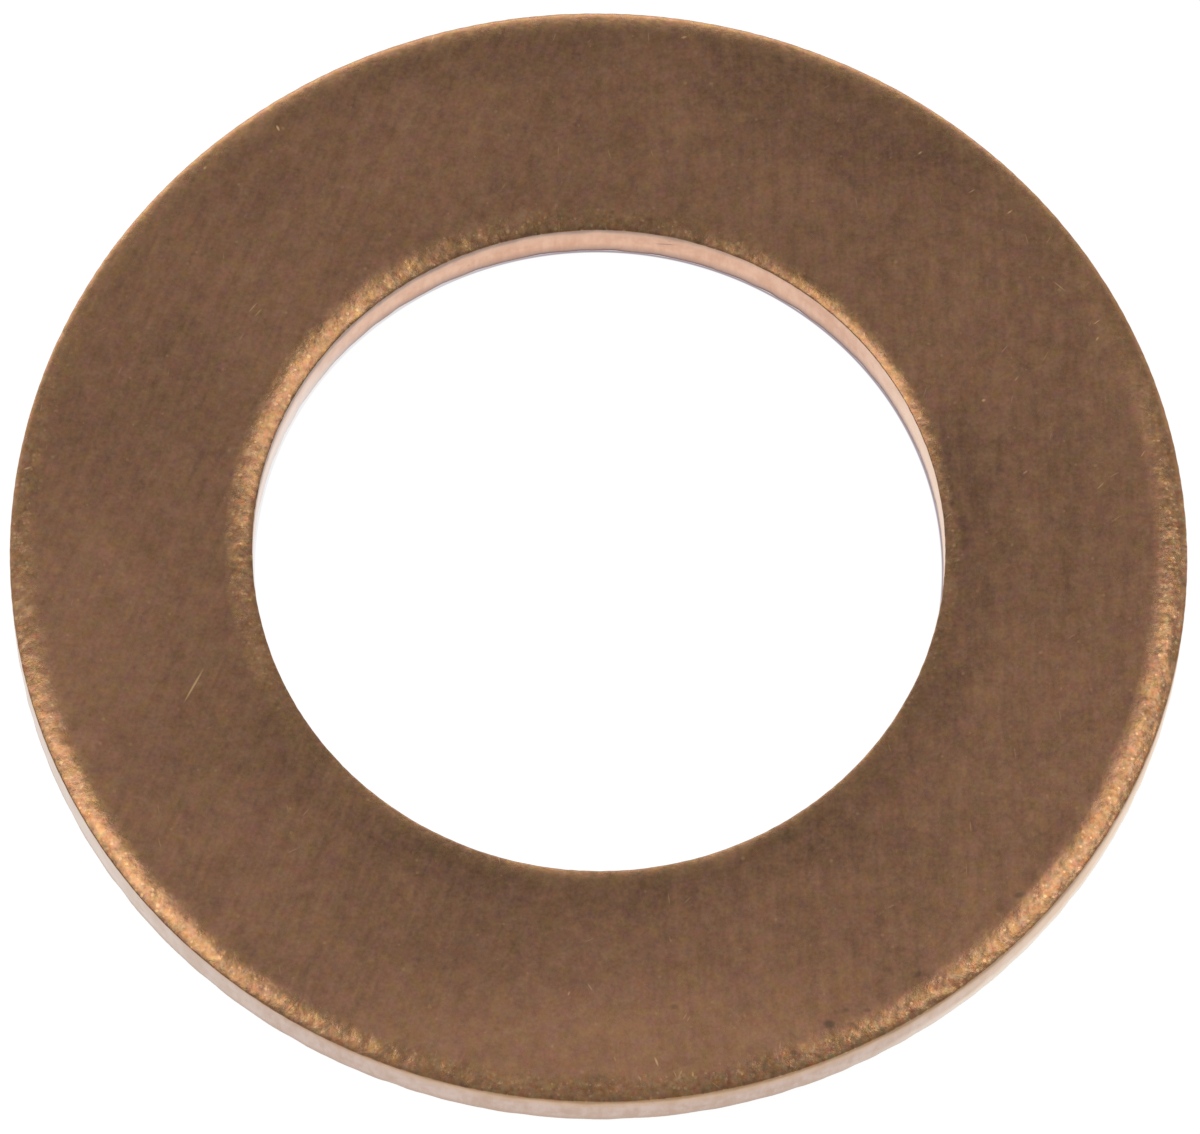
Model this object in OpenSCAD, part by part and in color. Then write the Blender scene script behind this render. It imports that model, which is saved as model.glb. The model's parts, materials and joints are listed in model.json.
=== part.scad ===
// Flat sealing washer, stamped in one blow from soft copper sheet.
// It lies on its lower face: Z is the axis of the ring, and Z = 0 is the lower face.
// The stamp drew the upper face over both rims, so that each ends in a rolled band,
// and below the bands the sheared walls of the rim and the bore are straight.

/* [Ring] */
// Outside diameter
outer_d = 22.2; // [18:0.1:40]
// Diameter of the bore
bore_d = 13.05; // [6:0.05:14.5]
// Thickness of the sheet
thickness = 1.1; // [0.6:0.05:3]

/* [Rolled bands] */
// Width of the rolled band round the outer rim
outer_roll_w = 0.7; // [0.2:0.05:0.8]
// Drop of the upper face at the outer rim
outer_roll_drop = 0.14; // [0.02:0.01:0.2]
// Width of the rolled band round the bore
bore_roll_w = 0.55; // [0.2:0.05:0.8]
// Drop of the upper face at the bore
bore_roll_drop = 0.11; // [0.02:0.01:0.2]

/* [Corners] */
// Radius of the upper corners, between the rolled bands and the walls
upper_corner_r = 0.03; // [0.02:0.01:0.1]
// Radius of the lower corners, between the walls and the lower face
lower_corner_r = 0.03; // [0.02:0.01:0.15]

/* [Hidden] */
$fn = 256;
outer_r = outer_d / 2;
bore_r = bore_d / 2;

// Radius of the arc that leaves the face level and drops this far over this width
function roll_r(band_w, drop) = (band_w * band_w + drop * drop) / (2 * drop);

// The cuts below are drawn at a rim: the Y axis is the wall, the X axis is the face,
// and the metal lies to the left. Each cut reaches past the metal by its own size.

// Cut of the rolled band: what lies above an arc that leaves the face level
module roll_cut(band_w, drop) {
    arc_r = roll_r(band_w, drop);
    difference() {
        translate([-band_w, -drop])
            square([band_w + drop, 2 * drop]);
        translate([-band_w, -arc_r])
            circle(r = arc_r);
    }
}

// Cut of an upper corner: what lies outside a small arc that touches the band and the wall
module upper_corner_cut(band_w, drop) {
    r = upper_corner_r;
    arc_r = roll_r(band_w, drop);
    // Slope of the band where the small arc begins
    slope = asin((band_w - r) / (arc_r - r));
    centre_y = -arc_r + (arc_r - r) * cos(slope);
    translate([-r, centre_y])
        difference() {
            polygon([[0, 0], [sin(slope), cos(slope)] * 2 * r, [2 * r, 2 * r], [2 * r, 0]]);
            circle(r = r);
        }
}

// Cut of a lower corner: what lies outside a small arc that touches the wall and the face
module lower_corner_cut() {
    r = lower_corner_r;
    translate([-r, r])
        difference() {
            translate([0, -2 * r])
                square(2 * r);
            circle(r = r);
        }
}

// Both cuts of an upper rim
module upper_rim_cut(band_w, drop) {
    roll_cut(band_w, drop);
    upper_corner_cut(band_w, drop);
}

// Section through one side of the ring
module section() {
    difference() {
        translate([bore_r, 0])
            square([outer_r - bore_r, thickness]);
        translate([outer_r, thickness])
            upper_rim_cut(outer_roll_w, outer_roll_drop);
        translate([bore_r, thickness])
            mirror([1, 0])
                upper_rim_cut(bore_roll_w, bore_roll_drop);
        translate([outer_r, 0])
            lower_corner_cut();
        translate([bore_r, 0])
            mirror([1, 0])
                lower_corner_cut();
    }
}

module washer() {
    color("#7b5c48")
        rotate_extrude()
            section();
}

washer();
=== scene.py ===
"""Dresses a stamped copper sealing washer: the ring's worn skin, its finishes, the studio and the camera."""

import json
import logging
import math
from dataclasses import dataclass, field
from enum import Enum

import bpy
import numpy as np
from mathutils import Matrix, Vector


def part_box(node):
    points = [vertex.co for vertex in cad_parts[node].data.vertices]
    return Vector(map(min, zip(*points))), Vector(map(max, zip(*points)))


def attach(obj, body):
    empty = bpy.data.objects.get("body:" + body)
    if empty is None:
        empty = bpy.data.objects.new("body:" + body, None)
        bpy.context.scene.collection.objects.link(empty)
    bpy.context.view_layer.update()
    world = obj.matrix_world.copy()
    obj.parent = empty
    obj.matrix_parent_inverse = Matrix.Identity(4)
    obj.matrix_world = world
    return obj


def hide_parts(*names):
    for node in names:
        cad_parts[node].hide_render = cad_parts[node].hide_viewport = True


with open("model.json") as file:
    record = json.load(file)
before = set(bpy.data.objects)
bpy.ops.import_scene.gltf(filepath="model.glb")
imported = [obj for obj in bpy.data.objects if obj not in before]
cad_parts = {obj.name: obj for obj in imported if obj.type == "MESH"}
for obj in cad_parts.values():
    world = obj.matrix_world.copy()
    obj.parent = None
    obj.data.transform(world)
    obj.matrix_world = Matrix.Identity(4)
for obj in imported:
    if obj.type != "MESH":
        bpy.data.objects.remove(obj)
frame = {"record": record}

LOG = logging.getLogger("washer")
MM = 0.001
TINY = 1e-6
RING_NODE = "washer"
RING_BODY = "root"
BAKE_MAP = "OFBake"
ROLL_ATTRIBUTE = "roll"
GRAIN_ATTRIBUTE = "grain"
TARNISH_AND_LIGHT_ATTRIBUTE = "stain"

# Sockets of a Mix node that mixes colours
MIX_BELOW, MIX_ABOVE, MIX_RESULT = 6, 7, 2

# Shares of a rolled band's width from the face to the rim: where its grain sets in, its edge, its very rim
BAND_SPAN = (0.05, 0.55)
EDGE_SPAN = (0.70, 1.0)
RIM_SPAN = (0.82, 0.94)

# Shares of a stroke's half-size between which it fades
STROKE_FADE = (0.3, 1.0)

# Radii in millimetres over which the bore's side of the ring passes into the outer side
SIDE_SPAN = (8.0, 10.0)

Colour = tuple[float, float, float]
Socket = bpy.types.NodeSocket
Value = Socket | float | tuple


class Sheet:
    """Puts nodes into one node tree and joins them."""

    def __init__(self, tree: bpy.types.NodeTree) -> None:
        """Takes the tree that the nodes go into."""
        self.tree = tree

    def add(self, kind: str, inputs: dict[str | int, Value], **settings: object) -> bpy.types.Node:
        """Adds one node.

        Args:
            kind: the node's type, without its ShaderNode prefix.
            inputs: what each input gets, a socket to join or a plain value.
            settings: the node's own properties.

        Returns:
            The new node.
        """
        node = self.tree.nodes.new("ShaderNode" + kind)
        for name, value in settings.items():
            setattr(node, name, value)
        for name, value in inputs.items():
            self.give(node.inputs[name], value)
        return node

    def give(self, socket: Socket, value: Value) -> None:
        """Joins an input to another socket, or sets its plain value."""
        if isinstance(value, Socket):
            self.tree.links.new(value, socket)
        else:
            socket.default_value = value

    def maths(self, operation: str, *values: Value, clamp: bool = False) -> Socket:
        """Joins numbers by one arithmetic step and returns the result."""
        return self.add("Math", dict(enumerate(values)), operation=operation, use_clamp=clamp).outputs[0]

    def vectors(self, operation: str, *values: Value) -> Socket:
        """Joins vectors by one arithmetic step and returns the resulting vector."""
        return self.add("VectorMath", dict(enumerate(values)), operation=operation).outputs["Vector"]

    def scaled(self, vector: Socket, by: Value) -> Socket:
        """Returns a vector times a number."""
        return self.add("VectorMath", {"Vector": vector, "Scale": by}, operation="SCALE").outputs["Vector"]

    def length(self, vector: Socket) -> Socket:
        """Returns the length of a vector."""
        return self.add("VectorMath", {0: vector}, operation="LENGTH").outputs["Value"]

    def dot(self, first: Socket, second: Socket) -> Socket:
        """Returns the dot product of two vectors."""
        return self.add("VectorMath", {0: first, 1: second}, operation="DOT_PRODUCT").outputs["Value"]

    def split(self, vector: Socket) -> tuple[Socket, Socket, Socket]:
        """Returns the three numbers of a vector."""
        return tuple(self.add("SeparateXYZ", {"Vector": vector}).outputs)

    def joined(self, x: Value, y: Value, z: Value) -> Socket:
        """Returns the vector of three numbers."""
        return self.add("CombineXYZ", {"X": x, "Y": y, "Z": z}).outputs["Vector"]

    def noise(self, vector: Socket, grain: float, detail: float = 2.0, rough: float = 0.5) -> Socket:
        """Adds soft noise.

        Args:
            vector: where it is read, in millimetres.
            grain: size of its patches, in millimetres.
            detail: how many finer layers it has.
            rough: how strong the finer layers are.

        Returns:
            A number about 0.5, from 0 to 1.
        """
        inputs = {"Vector": vector, "Scale": 1 / grain, "Detail": detail, "Roughness": rough}
        return self.add("TexNoise", inputs, noise_dimensions="3D").outputs[0]

    def cells(self, vector: Socket) -> bpy.types.bpy_prop_collection:
        """Returns the outputs of random cells of size 1 in the plane: Distance, Color and Position."""
        inputs = {"Vector": vector, "Scale": 1.0}
        return self.add("TexVoronoi", inputs, voronoi_dimensions="2D", feature="F1").outputs

    def spread(self, value: Socket, low: float, high: float, to_low: float, to_high: float) -> Socket:
        """Returns a number carried smoothly from one range to another, and held at its ends."""
        inputs = {"Value": value, "From Min": low, "From Max": high, "To Min": to_low, "To Max": to_high}
        return self.add("MapRange", inputs, interpolation_type="SMOOTHSTEP").outputs["Result"]

    def blend(self, share: Socket, below: Value, above: Value) -> Socket:
        """Mixes two colours.

        Args:
            share: how much of the colour above shows, from 0 to 1.
            below: one colour.
            above: the other.

        Returns:
            The mixed colour.
        """
        node = self.add("Mix", {0: share}, data_type="RGBA", clamp_factor=True)
        for place, colour in ((MIX_BELOW, below), (MIX_ABOVE, above)):
            self.give(node.inputs[place], colour if isinstance(colour, Socket) else (*colour, 1.0))
        return node.outputs[MIX_RESULT]

    def attribute(self, name: str) -> Socket:
        """Returns a number that the mesh holds at its points."""
        return self.add("Attribute", {}, attribute_name=name).outputs["Fac"]

    def group(self, tree: bpy.types.NodeTree, inputs: dict[str, Value]) -> bpy.types.Node:
        """Places a shared group and sets its inputs."""
        node = self.tree.nodes.new("ShaderNodeGroup")
        node.node_tree = tree
        for name, value in inputs.items():
            self.give(node.inputs[name], value)
        return node


class Groups:
    """Shader node groups that the finishes share. Every length in them is in millimetres."""

    def __init__(self) -> None:
        """Builds each group once."""
        self.stroke = self._stroke()
        self.scratches = self._scratches()
        self.pits = self._pits()
        self.polar = self._polar()

    @staticmethod
    def _new(name: str, takes: dict[str, str], gives: dict[str, str]) -> tuple[Sheet, dict, bpy.types.Node]:
        """Starts a group.

        Args:
            name: what the group is called.
            takes: its inputs, each with the kind of its socket.
            gives: its outputs, each with the kind of its socket.

        Returns:
            Its sheet, its input sockets by name, and the node that takes its outputs.
        """
        tree = bpy.data.node_groups.new(name, "ShaderNodeTree")
        for way, sockets in (("INPUT", takes), ("OUTPUT", gives)):
            for label, kind in sockets.items():
                tree.interface.new_socket(label, in_out=way, socket_type="NodeSocket" + kind)
        start = tree.nodes.new("NodeGroupInput")
        end = tree.nodes.new("NodeGroupOutput")
        return Sheet(tree), {label: start.outputs[label] for label in takes}, end

    def _stroke(self) -> bpy.types.NodeTree:
        """A soft stroke about a centre: a long ellipse, full in its middle and fading to its edge.

        Along and Across are its two axes, each divided by its half-length.
        """
        takes = {"Offset": "Vector", "Along": "Vector", "Across": "Vector"}
        sheet, given, end = self._new("stroke", takes, {"Mask": "Float"})
        reach, aside = (sheet.dot(given["Offset"], given[axis]) for axis in ("Along", "Across"))
        away = sheet.length(sheet.joined(reach, aside, 0.0))
        sheet.give(end.inputs["Mask"], sheet.spread(away, *STROKE_FADE, 1.0, 0.0))
        return sheet.tree

    def _scratches(self) -> bpy.types.NodeTree:
        """Scattered strokes: the plane is cut into random cells, and some hold one at a random lean."""
        takes = {
            "Vector": "Vector", "Cell": "Float", "Length": "Float", "Width": "Float",
            "Share": "Float", "Lean": "Float", "Spread": "Float",
        }
        sheet, given, end = self._new("scattered_scratches", takes, {"Mask": "Float"})
        per_cell = sheet.maths("DIVIDE", 1.0, given["Cell"])
        place = sheet.scaled(given["Vector"], per_cell)
        cells = sheet.cells(place)
        offset = sheet.scaled(sheet.vectors("SUBTRACT", place, cells["Position"]), given["Cell"])
        turn, pick, size = sheet.split(cells["Color"])
        lean = sheet.maths("MULTIPLY_ADD", sheet.maths("SUBTRACT", turn, 0.5), given["Spread"], given["Lean"])
        length = sheet.maths("MULTIPLY", given["Length"], sheet.maths("MULTIPLY_ADD", size, 0.8, 0.2))
        cosine, sine = sheet.maths("COSINE", lean), sheet.maths("SINE", lean)
        along = sheet.scaled(sheet.joined(cosine, sine, 0.0), sheet.maths("DIVIDE", 2.0, length))
        sideways = sheet.joined(sheet.maths("MULTIPLY", sine, -1.0), cosine, 0.0)
        across = sheet.scaled(sideways, sheet.maths("DIVIDE", 2.0, given["Width"]))
        inputs = {"Offset": offset, "Along": along, "Across": across}
        stroke = sheet.group(self.stroke, inputs).outputs["Mask"]
        there = sheet.maths("LESS_THAN", pick, given["Share"])
        faint = sheet.maths("MULTIPLY_ADD", size, 0.7, 0.3)
        mask = sheet.maths("MULTIPLY", sheet.maths("MULTIPLY", stroke, there), faint)
        sheet.give(end.inputs["Mask"], mask)
        return sheet.tree

    def _pits(self) -> bpy.types.NodeTree:
        """Scattered round pits: the plane is cut into random cells, and some cells hold one soft dot."""
        takes = {"Vector": "Vector", "Cell": "Float", "Size": "Float", "Share": "Float"}
        sheet, given, end = self._new("scattered_pits", takes, {"Mask": "Float"})
        place = sheet.scaled(given["Vector"], sheet.maths("DIVIDE", 1.0, given["Cell"]))
        cells = sheet.cells(place)
        size, pick, _ = sheet.split(cells["Color"])
        radius = sheet.maths("MULTIPLY", given["Size"], sheet.maths("MULTIPLY_ADD", size, 0.4, 0.2))
        away = sheet.maths("DIVIDE", sheet.maths("MULTIPLY", cells["Distance"], given["Cell"]), radius)
        dot = sheet.spread(away, 0.4, 1.0, 1.0, 0.0)
        mask = sheet.maths("MULTIPLY", dot, sheet.maths("LESS_THAN", pick, given["Share"]))
        sheet.give(end.inputs["Mask"], mask)
        return sheet.tree

    def _polar(self) -> bpy.types.NodeTree:
        """Places round the ring, read on a circle of a given radius.

        Around is the point of the circle, and Unrolled is the way along it and the height.
        """
        takes = {"Vector": "Vector", "Circle": "Float"}
        gives = {"Around": "Vector", "Unrolled": "Vector"}
        sheet, given, end = self._new("round_the_ring", takes, gives)
        x, y, z = sheet.split(given["Vector"])
        outward = sheet.vectors("NORMALIZE", sheet.joined(x, y, 0.0))
        way = sheet.maths("MULTIPLY", sheet.maths("ARCTAN2", y, x), given["Circle"])
        sheet.give(end.inputs["Around"], sheet.scaled(outward, given["Circle"]))
        sheet.give(end.inputs["Unrolled"], sheet.joined(way, z, 0.0))
        return sheet.tree


def smooth(value: np.ndarray, low: float, high: float) -> np.ndarray:
    """Returns values carried smoothly from 0 at low to 1 at high: share ** 2 * (3 - 2 * share)."""
    share = np.clip((value - low) / (high - low), 0.0, 1.0)
    return share ** 2 * (3.0 - 2.0 * share)


@dataclass(frozen=True)
class Mark:
    """One soft stroke on a surface. Lengths are in millimetres, and the lean is in degrees."""

    x: float
    y: float
    length: float
    width: float
    lean: float
    strength: float

    def weight(self, x: np.ndarray, y: np.ndarray) -> np.ndarray:
        """Reads the stroke at points, as the stroke group does.

        Args:
            x: first coordinates of the points.
            y: second coordinates of the points.

        Returns:
            The strength, full in the middle of the stroke's ellipse and fading to its edge.
        """
        cosine, sine = math.cos(math.radians(self.lean)), math.sin(math.radians(self.lean))
        along = (x - self.x) * cosine + (y - self.y) * sine
        across = (y - self.y) * cosine - (x - self.x) * sine
        away = np.hypot(2.0 * along / self.length, 2.0 * across / self.width)
        return self.strength * (1.0 - smooth(away, *STROKE_FADE))


def round_marks(
    radius: float, angles: tuple[float, ...], length: float, width: float, strength: float,
) -> tuple[Mark, ...]:
    """Places alike strokes along a circle about the ring's axis.

    Args:
        radius: radius of the circle.
        angles: where the strokes lie, in degrees from +X.
        length: length of each stroke.
        width: width of each stroke.
        strength: strength of each stroke.

    Returns:
        One stroke at each angle, at radius * (cosine, sine) of it and along the circle.
    """
    turns = [math.radians(angle) for angle in angles]
    places = [(radius * math.cos(turn), radius * math.sin(turn)) for turn in turns]
    return tuple(Mark(*place, length, width, angle + 90.0, strength) for place, angle in zip(places, angles))


SCRATCHES = (
    Mark(-7.51, -3.10, 0.98, 0.055, 64, 0.55),
    Mark(-6.37, 8.41, 0.17, 0.060, 115, 0.80),
    Mark(-7.73, 7.55, 0.10, 0.060, 60, 0.50),
    Mark(-10.82, 1.24, 0.20, 0.050, 15, 0.55),
    Mark(-6.70, 4.66, 0.34, 0.032, 52, 0.35),
    Mark(-6.60, 4.55, 0.30, 0.030, 52, 0.30),
    Mark(1.34, 10.58, 0.14, 0.060, 20, 0.45),
    Mark(5.91, 8.29, 0.12, 0.050, 40, 0.45),
    Mark(7.64, 7.11, 0.16, 0.045, 40, 0.50),
    Mark(6.91, 7.52, 0.18, 0.035, 35, 0.35),
    Mark(8.60, 5.60, 0.40, 0.030, -40, 0.35),
    Mark(9.33, 4.88, 0.20, 0.030, 40, 0.45),
    Mark(7.20, 3.19, 0.10, 0.065, 30, 0.60),
    Mark(10.52, 2.49, 0.10, 0.055, 0, 0.50),
    Mark(9.34, 4.53, 0.12, 0.050, 60, 0.45),
    Mark(7.58, 4.26, 0.24, 0.030, 52, 0.30),
    Mark(7.82, 3.66, 0.18, 0.030, 55, 0.30),
    Mark(8.01, 1.74, 0.14, 0.045, 40, 0.40),
    Mark(9.43, 1.50, 0.26, 0.030, 48, 0.35),
    Mark(10.23, 2.19, 0.20, 0.035, 60, 0.35),
    Mark(1.35, -10.31, 0.24, 0.055, 112, 0.65),
    Mark(0.08, -8.88, 0.20, 0.040, 125, 0.35),
    Mark(-0.31, -9.02, 0.12, 0.045, 70, 0.40),
    Mark(1.85, -9.41, 0.20, 0.030, 62, 0.35),
    Mark(1.92, -9.45, 0.16, 0.030, 62, 0.30),
    Mark(1.05, -10.64, 0.14, 0.045, 120, 0.35),
    Mark(1.70, -10.54, 0.18, 0.035, 115, 0.35),
    Mark(1.80, -10.52, 0.18, 0.035, 65, 0.35),
    Mark(2.03, -10.53, 0.14, 0.050, 100, 0.50),
    Mark(2.46, -10.71, 0.26, 0.030, 145, 0.30),
    Mark(0.58, -10.28, 0.14, 0.040, 110, 0.25),
    Mark(3.63, -9.92, 0.22, 0.035, 88, 0.30),
    Mark(4.93, -9.67, 0.18, 0.045, 75, 0.40),
)
SPOTS = (
    Mark(4.53, -9.47, 0.30, 0.24, 0, 0.65),
    Mark(3.89, -10.04, 0.18, 0.15, 0, 0.50),
    Mark(8.01, -6.80, 0.26, 0.16, 30, 0.50),
    Mark(6.16, -8.43, 0.24, 0.14, 40, 0.50),
    Mark(5.23, -9.17, 0.20, 0.12, 0, 0.45),
    Mark(4.84, -9.18, 0.16, 0.12, 0, 0.45),
    Mark(4.97, -9.47, 0.30, 0.13, -20, 0.40),
    Mark(1.65, -9.22, 0.20, 0.14, 0, 0.35),
    Mark(3.21, -10.19, 0.30, 0.18, 90, 0.25),
    Mark(0.29, -10.65, 0.40, 0.16, 0, 0.20),
    Mark(7.87, 2.50, 0.24, 0.10, 60, 0.20),
    Mark(6.74, 4.32, 0.20, 0.08, 120, 0.25),
    Mark(10.24, 0.92, 0.14, 0.10, 0, 0.25),
)
SMUDGES = (
    Mark(7.50, 2.01, 1.10, 0.20, 88, -0.14),
    Mark(7.07, 1.10, 1.30, 0.22, 92, -0.14),
    Mark(8.81, 2.09, 1.30, 0.25, 90, -0.12),
    Mark(8.62, 3.73, 0.60, 0.30, 80, -0.10),
    Mark(2.54, -8.82, 0.40, 0.25, 0, -0.12),
    Mark(3.95, -8.78, 0.40, 0.30, 0, -0.12),
)
# Broad strokes that lighten or darken the faces. Some are tarnish. Others are painted light and shade where
# the lamps' highlights fall: the lighter front of the face along the outer rim and the lighter strip on the
# outer band at the right, the darker right of the face, and the dark strokes along the rolled bands.
TARNISH_AND_LIGHT_PATCHES = (
    Mark(1.20, -10.40, 18.0, 4.8, 4, 0.34),
    Mark(-9.80, -2.40, 10.0, 4.6, 105, 0.20),
    Mark(-6.50, -6.80, 6.0, 4.0, -45, 0.14),
    Mark(-3.80, -9.50, 6.0, 3.4, -22, 0.14),
    Mark(7.20, -7.20, 4.5, 3.0, 45, 0.07),
    Mark(9.60, -3.80, 8.0, 1.8, 68, 0.05),
    Mark(-8.90, -5.40, 8.0, 1.8, -60, 0.10),
    Mark(9.70, 3.92, 4.5, 0.95, 112, 0.14),
    Mark(4.60, 9.40, 9.5, 4.4, -26, -0.23),
    Mark(-2.00, 10.40, 9.0, 2.6, 8, -0.15),
    Mark(-5.35, 9.27, 4.0, 1.5, 30, -0.08),
    Mark(-5.60, 5.40, 7.0, 4.0, 45, 0.08),
    Mark(-5.85, 3.37, 4.8, 0.9, 60, -0.09),
    Mark(9.00, 0.50, 8.0, 3.6, 90, -0.07),
    *round_marks(10.85, (-75, -90, -105), 3.6, 0.8, -0.14),
    *round_marks(11.045, (-135, -145, -155), 2.6, 0.2, -0.28),
    *round_marks(6.95, (8, -22, -52, -82, -112), 5.5, 1.9, -0.19),
    *round_marks(6.95, (-140,), 5.5, 1.9, -0.13),
)


def new_material(name: str) -> tuple[bpy.types.Material, Sheet, bpy.types.Node]:
    """Starts a material.

    Args:
        name: what it is called.

    Returns:
        The material, a sheet on its nodes, and its Principled shader.
    """
    material = bpy.data.materials.new(name)
    material.use_nodes = True
    return material, Sheet(material.node_tree), material.node_tree.nodes["Principled BSDF"]


def millimetres(sheet: Sheet) -> Socket:
    """Returns the piece's own coordinates in millimetres."""
    return sheet.scaled(sheet.add("TexCoord", {}).outputs["Object"], 1 / MM)


def dress_metal(sheet: Sheet, shader: bpy.types.Node, colour: Socket, rough: Socket, height: Socket) -> None:
    """Makes a shader metal with a changing surface.

    Args:
        sheet: where the nodes go.
        shader: the Principled shader.
        colour: the colour of the metal.
        rough: its roughness.
        height: its relief, in millimetres.
    """
    bump = sheet.add("Bump", {"Height": height, "Distance": MM, "Strength": 1.0})
    given = {"Base Color": colour, "Roughness": rough, "Normal": bump.outputs["Normal"], "Metallic": 1.0}
    for name, value in given.items():
        sheet.give(shader.inputs[name], value)


@dataclass(frozen=True)
class Layer:
    """One layer of noise on the faces. Lengths are in millimetres.

    It lightens and darkens the copper by its tone and stands up by its relief, and both have a share that is
    added on the rolled bands.
    """

    size: float
    tone: float = 0.0
    relief: float = 0.0
    band_tone: float = 0.0
    band_relief: float = 0.0
    detail: float = 2.0
    rough: float = 0.6
    shift: tuple[float, float, float] = (0.0, 0.0, 0.0)

    def texture(self, sheet: Sheet, place: Socket) -> Socket:
        """Returns the noise itself, a number about 0.5, read at a place in millimetres."""
        return sheet.noise(sheet.vectors("ADD", place, self.shift), self.size, self.detail, self.rough)


@dataclass(frozen=True)
class Streaks:
    """Noise that is longer along one direction of the face.

    The size is in millimetres, the lean is in degrees, and the noise is stretched this many times along it.
    """

    size: float
    lean: float
    stretch: float

    def texture(self, sheet: Sheet, place: Socket) -> Socket:
        """Returns the noise itself, a number about 0.5, read at a place in millimetres."""
        x, y, z = sheet.split(place)
        cosine, sine = math.cos(math.radians(self.lean)), math.sin(math.radians(self.lean))
        along = sheet.maths("ADD", sheet.maths("MULTIPLY", x, cosine), sheet.maths("MULTIPLY", y, sine))
        across = sheet.maths("SUBTRACT", sheet.maths("MULTIPLY", y, cosine), sheet.maths("MULTIPLY", x, sine))
        drawn = sheet.joined(sheet.maths("DIVIDE", along, self.stretch), across, z)
        return sheet.noise(drawn, self.size, 2.0, 0.6)


@dataclass(frozen=True)
class Dots:
    """Scattered round dots in random cells, one in this share of them. Lengths are in millimetres."""

    cell: float
    size: float
    share: float
    strength: float

    def texture(self, sheet: Sheet, groups: Groups, place: Socket) -> Socket:
        """Returns the dots' mask times their strength, read at a place in millimetres."""
        inputs = {"Vector": place, "Cell": self.cell, "Size": self.size, "Share": self.share}
        return sheet.maths("MULTIPLY", sheet.group(groups.pits, inputs).outputs["Mask"], self.strength)


@dataclass(frozen=True)
class StrayScratches:
    """Scattered scratches. Lengths are in millimetres, and the lean and its spread are in radians."""

    cell: float = 0.8
    length: float = 0.34
    width: float = 0.030
    share: float = 0.22
    lean: float = 1.15
    spread: float = 1.5
    strength: float = 0.22

    def texture(self, sheet: Sheet, groups: Groups, place: Socket) -> Socket:
        """Returns the scratches' mask times their strength, read at a place in millimetres."""
        inputs = {
            "Vector": place, "Cell": self.cell, "Length": self.length, "Width": self.width,
            "Share": self.share, "Lean": self.lean, "Spread": self.spread,
        }
        return sheet.maths("MULTIPLY", sheet.group(groups.scratches, inputs).outputs["Mask"], self.strength)


def strokes(sheet: Sheet, groups: Groups, place: Socket, marks: tuple[Mark, ...], start: Value) -> Socket:
    """Adds up listed strokes.

    Args:
        sheet: where the nodes go.
        groups: the shared node groups.
        place: where they are read, in millimetres.
        marks: the strokes.
        start: the value that they are added to.

    Returns:
        The start plus each stroke's mask times its strength.
    """
    total = start
    for mark in marks:
        cosine, sine = math.cos(math.radians(mark.lean)), math.sin(math.radians(mark.lean))
        inputs = {
            "Offset": sheet.vectors("SUBTRACT", place, (mark.x, mark.y, 0.0)),
            "Along": Vector((cosine, sine, 0.0)) * 2.0 / mark.length,
            "Across": Vector((-sine, cosine, 0.0)) * 2.0 / mark.width,
        }
        mask = sheet.group(groups.stroke, inputs).outputs["Mask"]
        total = sheet.maths("MULTIPLY_ADD", mask, mark.strength, total)
    return total


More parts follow.
